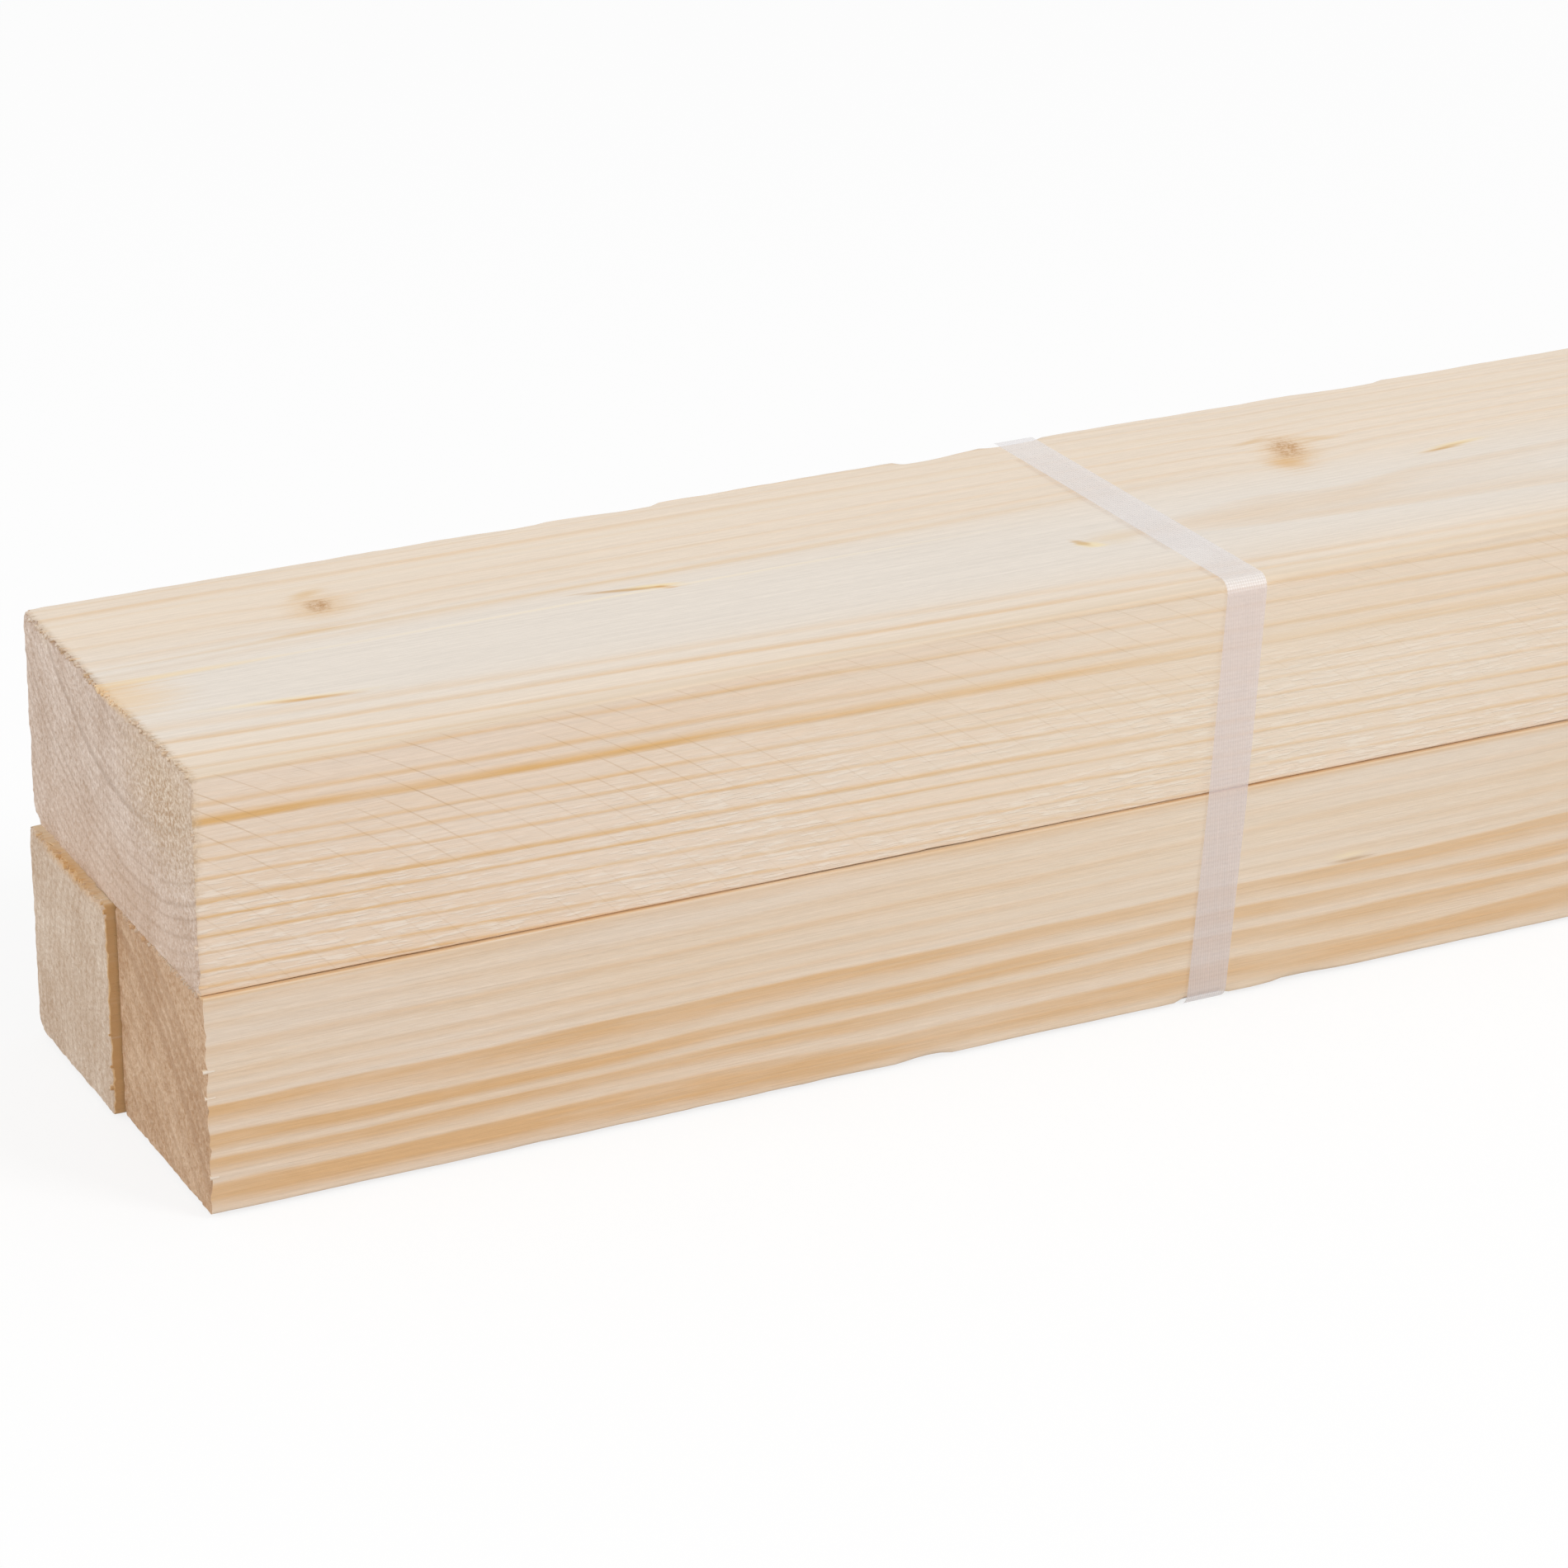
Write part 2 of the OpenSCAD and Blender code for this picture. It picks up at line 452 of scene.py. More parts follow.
    def _saw_strokes(self, on: Ground, near_end: Node) -> Node:
        """Thin arcs that the circular blade scored on the sides, about 4 mm apart.

        Args:
            on: Ground of the material.
            near_end: Share of the strokes' strength that is left.

        Returns:
            Node whose value is 1 in a full stroke.
        """
        tree = on.tree
        blade_radius = 122.0
        blade_depth = 59.0
        rise = add_node(tree, "Math", PLUS, {0: on.axes.outputs["Z"], 1: blade_depth})
        square = add_node(tree, "Math", TIMES, {0: rise, 1: rise})
        rest = add_node(tree, "Math", LESS, {0: blade_radius ** 2, 1: square})
        bow = add_node(tree, "Math", {"operation": "SQRT"}, {0: rest})
        feed = add_node(tree, "Math", LESS, {0: on.axes.outputs["X"], 1: bow})
        teeth = add_node(tree, "TexVoronoi", {"voronoi_dimensions": "1D", "feature": "DISTANCE_TO_EDGE"}, {
            "W": feed, "Scale": 0.25, "Randomness": 0.85})
        stroke = add_node(tree, "MapRange", SMOOTH, {
            "Value": teeth, "From Min": 0.01, "From Max": 0.05, "To Min": 1.0, "To Max": 0.0})
        where = on.stretched_noise((0.05, 0.1, 0.1), 2.0)
        patch = add_node(tree, "MapRange", SMOOTH, {
            "Value": where, "From Min": 0.34, "From Max": 0.6, "To Max": self.strokes})
        high_up = add_node(tree, "MapRange", SMOOTH, {
            "Value": on.axes.outputs["Z"], "From Min": self.strokes_above - 8,
            "From Max": self.strokes_above + 4, "To Min": 0.3, "To Max": 1.0})
        # The strokes fade sooner than the lines do
        left = add_node(tree, "Math", {"operation": "POWER"}, {0: near_end, 1: 4.0})
        side = add_node(tree, "Math", ABSOLUTE, {0: on.facing.outputs["Y"]})
        for factor in (patch, high_up, left, side):
            stroke = add_node(tree, "Math", TIMES, {0: stroke, 1: factor})
        return stroke

    def _mark(self, on: Ground, fibres: Node, grit: Node, mark: Mark, colour: Node) -> Node:
        """Lay a mark over the wood, frayed along the grain.

        Args:
            on: Ground of the material.
            fibres: Fine streaks along the grain, from 0 to 1.
            grit: Fine noise, from 0 to 1.
            mark: The mark.
            colour: Colour so far.

        Returns:
            Node whose colour has the mark.
        """
        tree = on.tree
        near = add_node(tree, "Mapping", {"vector_type": "TEXTURE"}, {
            "Vector": on.spot, "Location": mark.centre, "Scale": mark.reach,
            "Rotation": (0.0, 0.0, math.radians(mark.turn))})
        away = add_node(tree, "VectorMath", LENGTH, {0: near})
        frayed = add_node(tree, "Math", PLUS, {0: away.outputs["Value"], 1: fibres})
        cover = add_node(tree, "MapRange", SMOOTH, {
            "Value": frayed, "From Min": 1 - mark.blur / 2, "From Max": 1 + mark.blur / 2,
            "To Min": mark.strength, "To Max": 0.0})
        if mark.speckle:
            speck = add_node(tree, "MapRange", {}, {
                "Value": grit, "From Min": 0.4, "From Max": 0.6, "To Min": 1.0, "To Max": 1 - mark.speckle})
            cover = add_node(tree, "Math", TIMES, {0: cover, 1: speck})
        return add_node(tree, "Mix", COLOURS, {"Factor": cover, "A": colour, "B": linear(mark.colour)})

    def _end_grain(self, on: Ground, late: Node, grit: Node, end: Node, colour: Node) -> Node:
        """Colour with the sawn ends, where open fibres look like salt and pepper.

        Args:
            on: Ground of the material.
            late: Latewood, from 0 to 1.
            grit: Fine noise, from 0 to 1.
            end: 1 on a sawn end.
            colour: Colour of the other faces.

        Returns:
            Node whose colour is the wood's, on every face.
        """
        tree = on.tree
        cloud = add_node(tree, "TexNoise", {}, {
            "Vector": on.spot, "Scale": 0.16, "Detail": 3.0, "Roughness": 0.6})
        shade = add_node(tree, "Math", TIMES_PLUS, {0: cloud, 1: 0.45, 2: grit})
        speck = add_node(tree, "MapRange", {}, {"Value": shade, "From Min": 0.53, "From Max": 1.04})
        cut = add_node(tree, "Mix", COLOURS, {
            "Factor": speck, "A": linear(self.end_dark), "B": linear(self.end_pale)})
        faint = add_node(tree, "Math", TIMES, {0: late, 1: 0.5})
        ringed = add_node(tree, "Mix", COLOURS, {"Factor": faint, "A": cut, "B": linear(self.end_late)})
        return add_node(tree, "Mix", COLOURS, {"Factor": end, "A": colour, "B": ringed})


@dataclass(frozen=True)
class NaturalPolypropylene:
    """Uncoloured drawn polypropylene strapping: milky, half clear, rolled with a fine diamond."""

    name: str = "natural_polypropylene_embossed"
    milk: str = "e7d8d6"
    # Darker milk, for the cloudy patches and for the painted shade lower down the strap
    milk_cloud_and_shade: str = "d6cbcb"
    # Paler milk painted on the top face of the strap for the sheen of light on it
    milk_top_sheen: str = "e6e0df"
    # Stretch whitening of the folds, with painted glints on their diamonds
    fold_white_and_glint: str = "fdfaf8"
    diamond: float = 0.6
    haze: float = 0.68
    shade: float = 0.12

    def material(self, corner: Vector) -> bpy.types.Material:
        """Make the embossed plastic.

        Args:
            corner: Near lower front corner of the bundle, in mm.

        Returns:
            The finished material.
        """
        on = Ground.start(self.name, corner)
        tree, axes, facing = on.tree, on.axes.outputs, on.facing.outputs
        along = add_node(tree, "Math", PLUS, {0: axes["Y"], 1: axes["Z"]})
        # Two sets of grooves cross at the roll's angle and make the diamonds
        pitch = 2 * math.pi / self.diamond
        grooves = []
        for slant in (0.55, -0.55):
            lead = add_node(tree, "Math", TIMES_PLUS, {0: along, 1: slant, 2: axes["X"]})
            phase = add_node(tree, "Math", TIMES, {0: lead, 1: pitch})
            grooves.append(add_node(tree, "Math", SINE, {0: phase}))
        crossed = add_node(tree, "Math", TIMES, dict(enumerate(grooves)))
        cloud = on.stretched_noise((2.5, 0.12, 0.12), 3.0)
        # Painted shade: the plastic is painted dimmer towards the bundle's foot, where less light reaches it
        risen = add_node(tree, "MapRange", {}, {
            "Value": axes["Z"], "From Max": 50.0, "To Min": -0.5, "To Max": 0.5})
        bright = add_node(tree, "Math", PLUS | {"use_clamp": True}, {0: cloud, 1: risen})
        # Painted sheen: the top face of the strap is painted paler for the light it reflects
        above = add_node(tree, "MapRange", SMOOTH, {"Value": facing["Z"], "From Min": 0.2, "From Max": 0.9})
        # Stretched polypropylene turns white, and the diamonds on its folds get painted glints, so the folds
        # are the brightest
        slope = add_node(tree, "Math", TIMES, {0: facing["Y"], 1: facing["Z"]})
        bent = add_node(tree, "Math", ABSOLUTE, {0: slope})
        fold = add_node(tree, "MapRange", SMOOTH, {"Value": bent, "From Min": 0.1, "From Max": 0.45})
        sparkle = add_node(tree, "MapRange", {}, {
            "Value": crossed, "From Min": -0.4, "From Max": 0.6, "To Min": 0.1, "To Max": 0.65})
        fold = add_node(tree, "Math", TIMES, {0: fold, 1: sparkle})
        colour = linear(self.milk_cloud_and_shade)
        for share, over in ((bright, self.milk), (above, self.milk_top_sheen), (fold, self.fold_white_and_glint)):
            colour = add_node(tree, "Mix", COLOURS, {"Factor": share, "A": colour, "B": linear(over)})
        height = add_node(tree, "Math", TIMES, {0: crossed, 1: 0.02})
        bump = add_node(tree, "Bump", {}, {"Strength": 1.0, "Distance": MM, "Height": height})
        gloss = add_node(tree, "MapRange", {}, {"Value": cloud, "To Min": 0.16, "To Max": 0.26})
        # The haze scatters most light onwards, so it hides the wood but hardly shades it,
        # and what crosses the strap is dimmed where it goes in, not once more where it comes out
        thick = add_node(tree, "MapRange", {}, {"Value": fold, "To Min": self.haze, "To Max": 0.9})
        edge = add_node(tree, "Math", ABSOLUTE, {0: facing["X"]})
        clear = add_node(tree, "MapRange", SMOOTH, {
            "Value": edge, "From Min": 0.1, "From Max": 0.6, "To Min": 1.0, "To Max": 0.04})
        path = add_node(tree, "LightPath", {}, {})
        onward = add_node(tree, "Math", GREATER, {
            0: path.outputs["Is Shadow Ray"], 1: path.outputs["Is Diffuse Ray"]})
        haze = add_node(tree, "MapRange", {}, {"Value": onward, "To Min": thick, "To Max": self.shade})
        side = add_node(tree, "NewGeometry", {}, {})
        going_in = add_node(tree, "Math", LESS, {0: 1.0, 1: side.outputs["Backfacing"]})
        for factor in (going_in, clear):
            haze = add_node(tree, "Math", TIMES, {0: haze, 1: factor})
        plastic = add_node(tree, "BsdfPrincipled", {}, {
            "Base Color": colour, "Roughness": gloss, "IOR": 1.49, "Alpha": haze, "Normal": bump})
        add_node(tree, "OutputMaterial", {}, {"Surface": plastic})
        return on.made


@dataclass(frozen=True)
class Chip:
    """Place where an arris is broken away, in mm: it drops at its steep end and fades to the other."""

    arris: Arris
    steep_end: float
    gentle_end: float
    depth: float

    def bite(self, x: float) -> float:
        """Depth of the chip at a place along the batten.

        Args:
            x: Distance from the near end, in mm.

        Returns:
            Depth in mm, 0 outside the chip.
        """
        share = (x - self.steep_end) / (self.gentle_end - self.steep_end)
        return self.depth * smooth_step(-0.03, 0.08, share) * (1 - smooth_step(0.3, 1.0, share))


@dataclass(frozen=True)
class StrapPath:
    """Where a strap crosses the bundle: its middle in mm from the near end, lean and skew in degrees."""

    middle: float
    lean: float
    skew: float

    def station(self, y: float, z: float) -> float:
        """Place of the strap's middle along X, for a point of the section.

        Args:
            y: Across the bundle from its middle, in mm.
            z: Up from the middle of the battens, in mm.

        Returns:
            Distance from the near end, in mm.
        """
        return self.middle - y * math.tan(math.radians(self.skew)) + z * math.tan(math.radians(self.lean))


@dataclass
class Batten:
    """One rough-sawn batten: its faces, worn arrises, strap dents and torn ends."""

    name: str
    node: str
    finish_slot: str
    finish: SawnFir
    cuts_across: int
    cuts_up: int
    seed: float
    radii: dict[Arris, float]
    dents: dict[Arris, float]
    chips: tuple[Chip, ...] = ()
    wane: tuple[float, float, float] = (0.0, 0.0, 1.0)
    face_wave: float = 0.1
    torn_fibres: int = 0
    strapped_sides: tuple[int, ...] = (0, 1)
    strap_half: float = 2.7

    def build(self, straps: tuple[StrapPath, ...], near_end: float, middle_z: float,
              corner: Vector) -> None:
        """Model and dress the batten.

        Args:
            straps: Paths of the straps that dent it.
            near_end: X of the wide batten's near end, in mm.
            middle_z: Middle height of the battens, in mm.
            corner: Near lower front corner of the bundle, in mm.
        """
        low, high = (Vector(p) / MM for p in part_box(self.node))
        stations = self._stations(high.x - low.x)
        shape = self._grid(len(stations) - 2)
        for vert in shape.verts:
            step = round((vert.co.x + 0.5) * (len(stations) - 1))
            share_y, share_z = (self._spread(c + 0.5) for c in vert.co.yz)
            at = Vector((stations[step], share_y * (high.y - low.y), share_z * (high.z - low.z)))
            vert.co = (low + self._worn(at, high - low, low, straps, near_end, middle_z)) * MM
        self._fray(shape, low, high)
        bmesh.ops.recalc_face_normals(shape, faces=shape.faces)
        mesh = take_mesh(self.name, shape)
        mesh.shade_smooth()
        mesh.set_sharp_from_angle(angle=math.radians(50))
        mesh.materials.append(self.finish.material(corner))
        piece = place_object(self.name, mesh)
        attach(piece, "root")
        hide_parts(self.node)
        log.info("%s: %d faces", self.name, len(mesh.polygons))

    def _stations(self, length: float) -> list[float]:
        """Places of the section along X: close where the camera and the far strap are.

        Args:
            length: Length of the batten, in mm.

        Returns:
            Distances from the near end, in mm.
        """
        seen, far_dent, past_dent, far_rim = 200.0, length - 128.0, length - 112.0, length - TORN_DEPTH
        spans = ((0.0, TORN_DEPTH, 8), (TORN_DEPTH, seen, 140), (seen, far_dent, 24),
                 (far_dent, past_dent, 16), (past_dent, far_rim, 6), (far_rim, length, 6))
        places = [start + (stop - start) * i / count for start, stop, count in spans for i in range(count)]
        return [*places, length]

    def _grid(self, cuts_along: int) -> bmesh.types.BMesh:
        """Box of unit size, cut into a grid on every face.

        Args:
            cuts_along: Cuts along X.

        Returns:
            The box, with its corners at half a unit from the origin.
        """
        shape = bmesh.new()
        bmesh.ops.create_cube(shape, size=1.0)
        for axis, cuts in enumerate((cuts_along, self.cuts_across, self.cuts_up)):
            along = [e for e in shape.edges if abs(e.verts[0].co[axis] - e.verts[1].co[axis]) > 0.9]
            bmesh.ops.subdivide_edges(shape, edges=along, cuts=cuts, use_grid_fill=True)
        return shape

    def _spread(self, share: float) -> float:
        """Crowd the grid towards the arrises."""
        return share - 0.7 * math.sin(2 * math.pi * share) / (2 * math.pi)

    def _worn(self, at: Vector, size: Vector, low: Vector, straps: tuple[StrapPath, ...],
              near_end: float, middle_z: float) -> Vector:
        """Move a point of the sharp box to the worn surface.

        Args:
            at: The point, in mm from the box's lowest corner.
            size: Size of the box, in mm.
            low: Lowest corner of the box, in mm.
            straps: Paths of the straps.
            near_end: X of the wide batten's near end, in mm.
            middle_z: Middle height of the battens, in mm.

        Returns:
            The moved point, in mm from the box's lowest corner.
        """
        arris = Arris((int(at.y > size.y / 2), int(at.z > size.z / 2)))
        side = Vector((0.0, 2.0 * arris.value[0] - 1, 2.0 * arris.value[1] - 1))
        hub = Vector((0.0, size.y * arris.value[0], size.z * arris.value[1]))
        key = Vector((at.x / 5, self.seed + 7 * arris.value[0], 3 * self.seed + 11 * arris.value[1]))
        wear, fine_wear, sharpest = 0.22, 0.09, 0.12
        radius = self.radii[arris] + wear * noise.noise(key) + fine_wear * noise.noise(key * 4)
        # Seen from the camera a rounding of 3.2 mm lowers the outline by 1 mm
        rounding = 3.2
        for chip in self.chips:
            if chip.arris is arris:
                radius += rounding * chip.bite(at.x)
        if arris in self.dents:
            place = low + hub
            run_out = 0.5
            for strap in straps:
                gap = abs(low.x + at.x - near_end - strap.station(place.y, place.z - middle_z))
                pressed = 1 - smooth_step(self.strap_half, self.strap_half + run_out, gap)
                radius = max(radius, self.dents[arris] * pressed)
        radius = max(radius, sharpest)
        moved = at.copy()
        # Round the arris: points past the bend's centre go on to its arc
        bend = hub - side * radius
        over = Vector((0.0, max(0.0, (at.y - bend.y) * side.y), max(0.0, (at.z - bend.z) * side.z)))
        if over.y and over.z and over.length > radius:
            over *= radius / over.length
            moved.y = bend.y + over.y * side.y
            moved.z = bend.z + over.z * side.z
        if arris is Arris.BACK_LOW and self.wane[0]:
            moved = self._waned(moved, size)
        # Faces wave a little along and across the saw's way
        wave = Vector((at.x / 38, at.y / 13 + self.seed, at.z / 13 - self.seed))
        swell = self.face_wave * noise.noise(wave) + 0.3 * self.face_wave * noise.noise(wave * 5)
        clearance = 0.6 * self.face_wave if arris.value[0] in self.strapped_sides else 0.0
        moved.y += (2 * at.y / size.y - 1) * (swell - clearance)
        moved.z += (2 * at.z / size.z - 1) * self.face_wave * (noise.noise(wave + Vector((9, 3, 5))) - 0.35)
        from_end = min(at.x, size.x - at.x)
        if from_end < TORN_DEPTH:
            moved.x += (1 - from_end / TORN_DEPTH) * self._torn(at, size)
        return moved

    def _fray(self, shape: bmesh.types.BMesh, low: Vector, high: Vector) -> None:
        """Leave torn fibres standing out along the rims of both ends.

        Args:
            shape: The batten, in metres.
            low: Lowest corner of its box, in mm.
            high: Highest corner of its box, in mm.
        """
        chance = random.Random(self.seed)
        share_on_top, buried = 0.95, 1.0
        rims = ((Vector((0, 0, 1)), Vector((0, 1, 0))), (Vector((0, -1, 0)), Vector((0, 0, 1))))
        middle = (low + high) / 2
        half = (high - low) / 2
        fringe = bmesh.new()
        for number in range(self.torn_fibres):
            way = -1 if number % 2 else 1
            out, along = rims[0] if chance.random() < share_on_top else rims[1]
            length = chance.uniform(0.9, 1.35)
            thick = chance.uniform(0.12, 0.42)
            lean = chance.uniform(0.0, 0.2)
            root = middle + out * (half.dot(Vector(map(abs, out))) - thick)
            root += along * chance.uniform(-0.97, 0.97) * half.dot(along)
            root.x = middle.x + way * (half.x - buried)
            aim = (Vector((way, 0, 0)) + out * lean).normalized()
            turn = Vector((0, 0, 1)).rotation_difference(aim).to_matrix().to_4x4()
            place = Matrix.Translation((root + aim * length / 2) * MM) @ turn
            bmesh.ops.create_cone(fringe, cap_ends=True, segments=6, radius1=thick * MM,
                                  radius2=0.75 * thick * MM, depth=length * MM, matrix=place)
        loose = take_mesh("torn_fibres", fringe)
        shape.from_mesh(loose)
        bpy.data.meshes.remove(loose)

    def _waned(self, at: Vector, size: Vector) -> Vector:
        """Cut the lower back arris off where the log was round.

        Args:
            at: The point, in mm from the box's lowest corner.
            size: Size of the box, in mm.

        Returns:
            The moved point.
        """
        width, height, length = self.wane
        left = max(0.0, 1 - at.x / length)
        width, height = width * left, height * left
        if width < 0.05:
            return at
        inside = (size.y - at.y) / width + at.z / height
        if inside >= 1:
            return at
        shift = (1 - inside) / (1 / width ** 2 + 1 / height ** 2)
        return at + Vector((0.0, -shift / width, shift / height))

    def _torn(self, at: Vector, size: Vector) -> float:
        """How far a point of a sawn end lies from its plane: fibres tear out along the rim.

        Args:
            at: The point, in mm from the box's lowest corner.
            size: Size of the box, in mm.

        Returns:
            Shift along X, in mm.
        """
        reach = 0.9
        sides = ((size.z - at.z, 1.0), (at.y, 0.5), (size.y - at.y, 0.12), (at.z, 0.2))
        loose = max(share * (1 - smooth_step(0.0, reach, depth)) for depth, share in sides)
        key = Vector((self.seed, at.y * 1.4, at.z * 1.4))
        rough = 0.08 * noise.noise(key * 0.5) + 0.06 * noise.noise(key)
        jagged = 0.6 * noise.noise(key * 0.4) + 0.5 * noise.noise(key * 1.1)
        ragged = max(0.0, jagged + 0.12) * loose
        way = 1 if at.x < size.x / 2 else -1
        return way * (0.06 + rough + ragged)


@dataclass
class Strapping:
    """The two straps, carried over from the frame."""

    nodes: tuple[str, ...]
    finish: NaturalPolypropylene
    edge_radius: float = 0.2

    def dress(self, corner: Vector) -> None:
        """Give the straps their finish.

        Args:
            corner: Near lower front corner of the bundle, in mm.
        """
        plastic = self.finish.material(corner)
        for name in self.nodes:
            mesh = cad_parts[name].data
            mesh.materials.clear()
            mesh.materials.append(plastic)
            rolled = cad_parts[name].modifiers.new("rolled_edges", "BEVEL")
            rolled.width = self.edge_radius * MM
            rolled.segments = 3
            rolled.limit_method = "ANGLE"
            rolled.angle_limit = math.radians(60)
            log.info("%s: dressed", name)


@dataclass
class Studio:
    """Camera, soft light and pale floor."""

    standpoint: tuple[float, float, float]
    azimuth: float
    elevation: float
    roll: float
    lens: float
    ambient: float
    front_power: float
    end_power: float

    def set_camera(self, corner: Vector) -> None:
        """Stand the camera where the photograph was taken from.

        Args:
            corner: Near lower front corner of the bundle, in mm.
        """
        camera = bpy.data.cameras.new("view")
        camera.sensor_width = 36.0
        camera.lens = self.lens
        camera.clip_start = 0.01
        camera.clip_end = 100.0
        stand = place_object("view", camera)
        turn = Matrix.Rotation(math.radians(self.azimuth), 4, "Z")
        tilt = Matrix.Rotation(math.radians(90 - self.elevation), 4, "X")
        lean = Matrix.Rotation(math.radians(self.roll), 4, "Z")
        place = Matrix.Translation((corner + Vector(self.standpoint)) * MM)
        stand.matrix_world = place @ turn @ tilt @ lean
        bpy.context.scene.camera = stand

    def _seen(self, tree: Tree) -> Node:
        """Value of 1 where a surface is looked at: straight, in a gloss or through the plastic."""
        path = add_node(tree, "LightPath", {}, {})
        seen = path.outputs["Is Camera Ray"]
        for ray in ("Is Glossy Ray", "Is Transmission Ray"):
            seen = add_node(tree, "Math", GREATER, {0: seen, 1: path.outputs[ray]})
        return seen

    def set_light(self) -> None:
        """Light the bundle from a pale room, with large lamps before its front and its end."""
        world = bpy.data.worlds.new("pale_room")
        bpy.context.scene.world = world
        tree = empty_tree(world)
        level = add_node(tree, "MapRange", {}, {
            "Value": self._seen(tree), "To Min": self.ambient, "To Max": 1.0})
        air = add_node(tree, "Background", {}, {"Color": linear("ffffff"), "Strength": level})
        add_node(tree, "OutputWorld", {}, {"Surface": air})
        aim = Vector((-0.9, 0.0, 0.03))
        for name, away, power, size in (
                ("front_lamp", Vector((0.75, -1.05, 1.2)), self.front_power, 0.5),
                ("end_lamp", Vector((-1.9, -0.35, 0.55)), self.end_power, 1.4)):
            lamp = bpy.data.lights.new(name, "AREA")
            lamp.shape = "SQUARE"
            lamp.size = size
            lamp.energy = power
            hung = place_object(name, lamp)
            hung.location = aim + away
            hung.rotation_euler = (-away).to_track_quat("-Z", "Y").to_euler()

    def lay_floor(self) -> None:
        """Lay a pale floor that keeps a soft shadow under the straps."""
        shape = bmesh.new()
        bmesh.ops.create_grid(shape, x_segments=2, y_segments=2, size=30.0)
        mesh = take_mesh("floor", shape)
        made = bpy.data.materials.new("pale_floor")
        tree = empty_tree(made)
        seen = self._seen(tree)
        # Where it is looked at, the floor is four fifths plain white, so its shadow stays soft
        share = add_node(tree, "Math", TIMES, {0: seen, 1: 0.8})
        shade = add_node(tree, "Mix", COLOURS, {
            "Factor": seen, "A": linear("d9d7d3"), "B": linear("ffffff")})
        paint = add_node(tree, "BsdfDiffuse", {}, {"Color": shade})
        white = add_node(tree, "Emission", {}, {"Color": linear("ffffff"), "Strength": 1.0})
        both = add_node(tree, "MixShader", {}, {0: share, 1: paint, 2: white})
        add_node(tree, "OutputMaterial", {}, {"Surface": both})
        mesh.materials.append(made)
        floor = place_object("floor", mesh)


